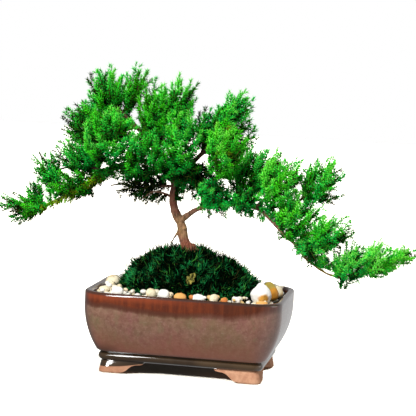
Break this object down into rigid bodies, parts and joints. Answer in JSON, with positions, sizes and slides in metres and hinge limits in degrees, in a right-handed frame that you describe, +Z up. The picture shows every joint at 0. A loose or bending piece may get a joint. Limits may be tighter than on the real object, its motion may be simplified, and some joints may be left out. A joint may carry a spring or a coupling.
{
  "type": "potted bonsai tree",
  "caption": "Juniper bonsai with a spreading, cascading crown in a low brown glazed pot, its soil covered by a moss mound, pebbles and stones",
  "frame": {"origin": "on the surface the pot stands on, under the middle of the whole outline of pot and tree", "axes": "+Z up, -Y towards the front of the pot, +X towards the long cascading branch on the right"},
  "size_m": [0.4214, 0.1451, 0.3045],
  "materials": {
    "glaze": "glossy mottled brown glaze, redder under the rim and darker on the edges",
    "net": "moulded plastic net",
    "soil": "damp crumbly potting soil",
    "moss": "dense dark green moss",
    "gravel": "small washed river pebbles",
    "bark": "flaky brown bark",
    "needles": "short pointed green needles on fine twigs",
    "pebble_white": "smooth white pebble",
    "pebble_cream": "smooth cream pebble",
    "pebble_orange": "smooth orange pebble",
    "pebble_olive": "smooth olive and tan stone",
    "dry_leaf": "dry curled leaf"
  },
  "bodies": {
    "root": {"pot": "glaze", "drain_net_left": "net", "drain_net_right": "net", "trunk_and_branches": "bark", "soil": "soil", "moss_mound": "moss", "gravel_bed": "gravel", "stone_white_large": "pebble_white", "stone_olive": "pebble_olive", "stone_cream": "pebble_cream", "stone_tan_left": "pebble_cream", "pebble_01": "pebble_cream", "pebble_02": "pebble_white", "pebble_03": "pebble_cream", "pebble_04": "pebble_white", "pebble_05": "pebble_orange", "pebble_06": "pebble_white", "pebble_07": "pebble_cream", "pebble_08": "pebble_orange", "pebble_09": "pebble_white", "pebble_10": "pebble_orange", "pebble_11": "pebble_white", "pebble_12": "pebble_white", "dry_leaf": "dry_leaf", "foliage_left_tip": "needles", "foliage_left_tip_upper": "needles", "foliage_left_arm_outer": "needles", "foliage_left_arm_lower": "needles", "foliage_left_arm_under": "needles", "foliage_left_arm_upper": "needles", "foliage_left_crown_edge": "needles", "foliage_left_crown_front": "needles", "foliage_left_crown_top": "needles", "foliage_left_crown_peak": "needles", "foliage_left_crown_back": "needles", "foliage_mid_crown_left": "needles", "foliage_mid_crown_top": "needles", "foliage_mid_crown_front": "needles", "foliage_mid_crown_right": "needles", "foliage_mid_crown_back": "needles", "foliage_mid_crown_low": "needles", "foliage_under_left_twig": "needles", "foliage_right_crown_top": "needles", "foliage_right_crown_inner": "needles", "foliage_right_crown_front": "needles", "foliage_right_crown_back": "needles", "foliage_right_crown_under": "needles", "foliage_right_crown_low": "needles", "foliage_right_arm_inner": "needles", "foliage_right_arm_front": "needles", "foliage_right_arm_low": "needles", "foliage_right_outer_top": "needles", "foliage_right_outer_twig": "needles", "foliage_right_mid_upper": "needles", "foliage_right_mid_outer": "needles", "foliage_right_mid_under": "needles", "foliage_right_tip_inner": "needles", "foliage_right_tip_outer": "needles", "foliage_right_tip_end": "needles"}
  },
  "joints": []
}
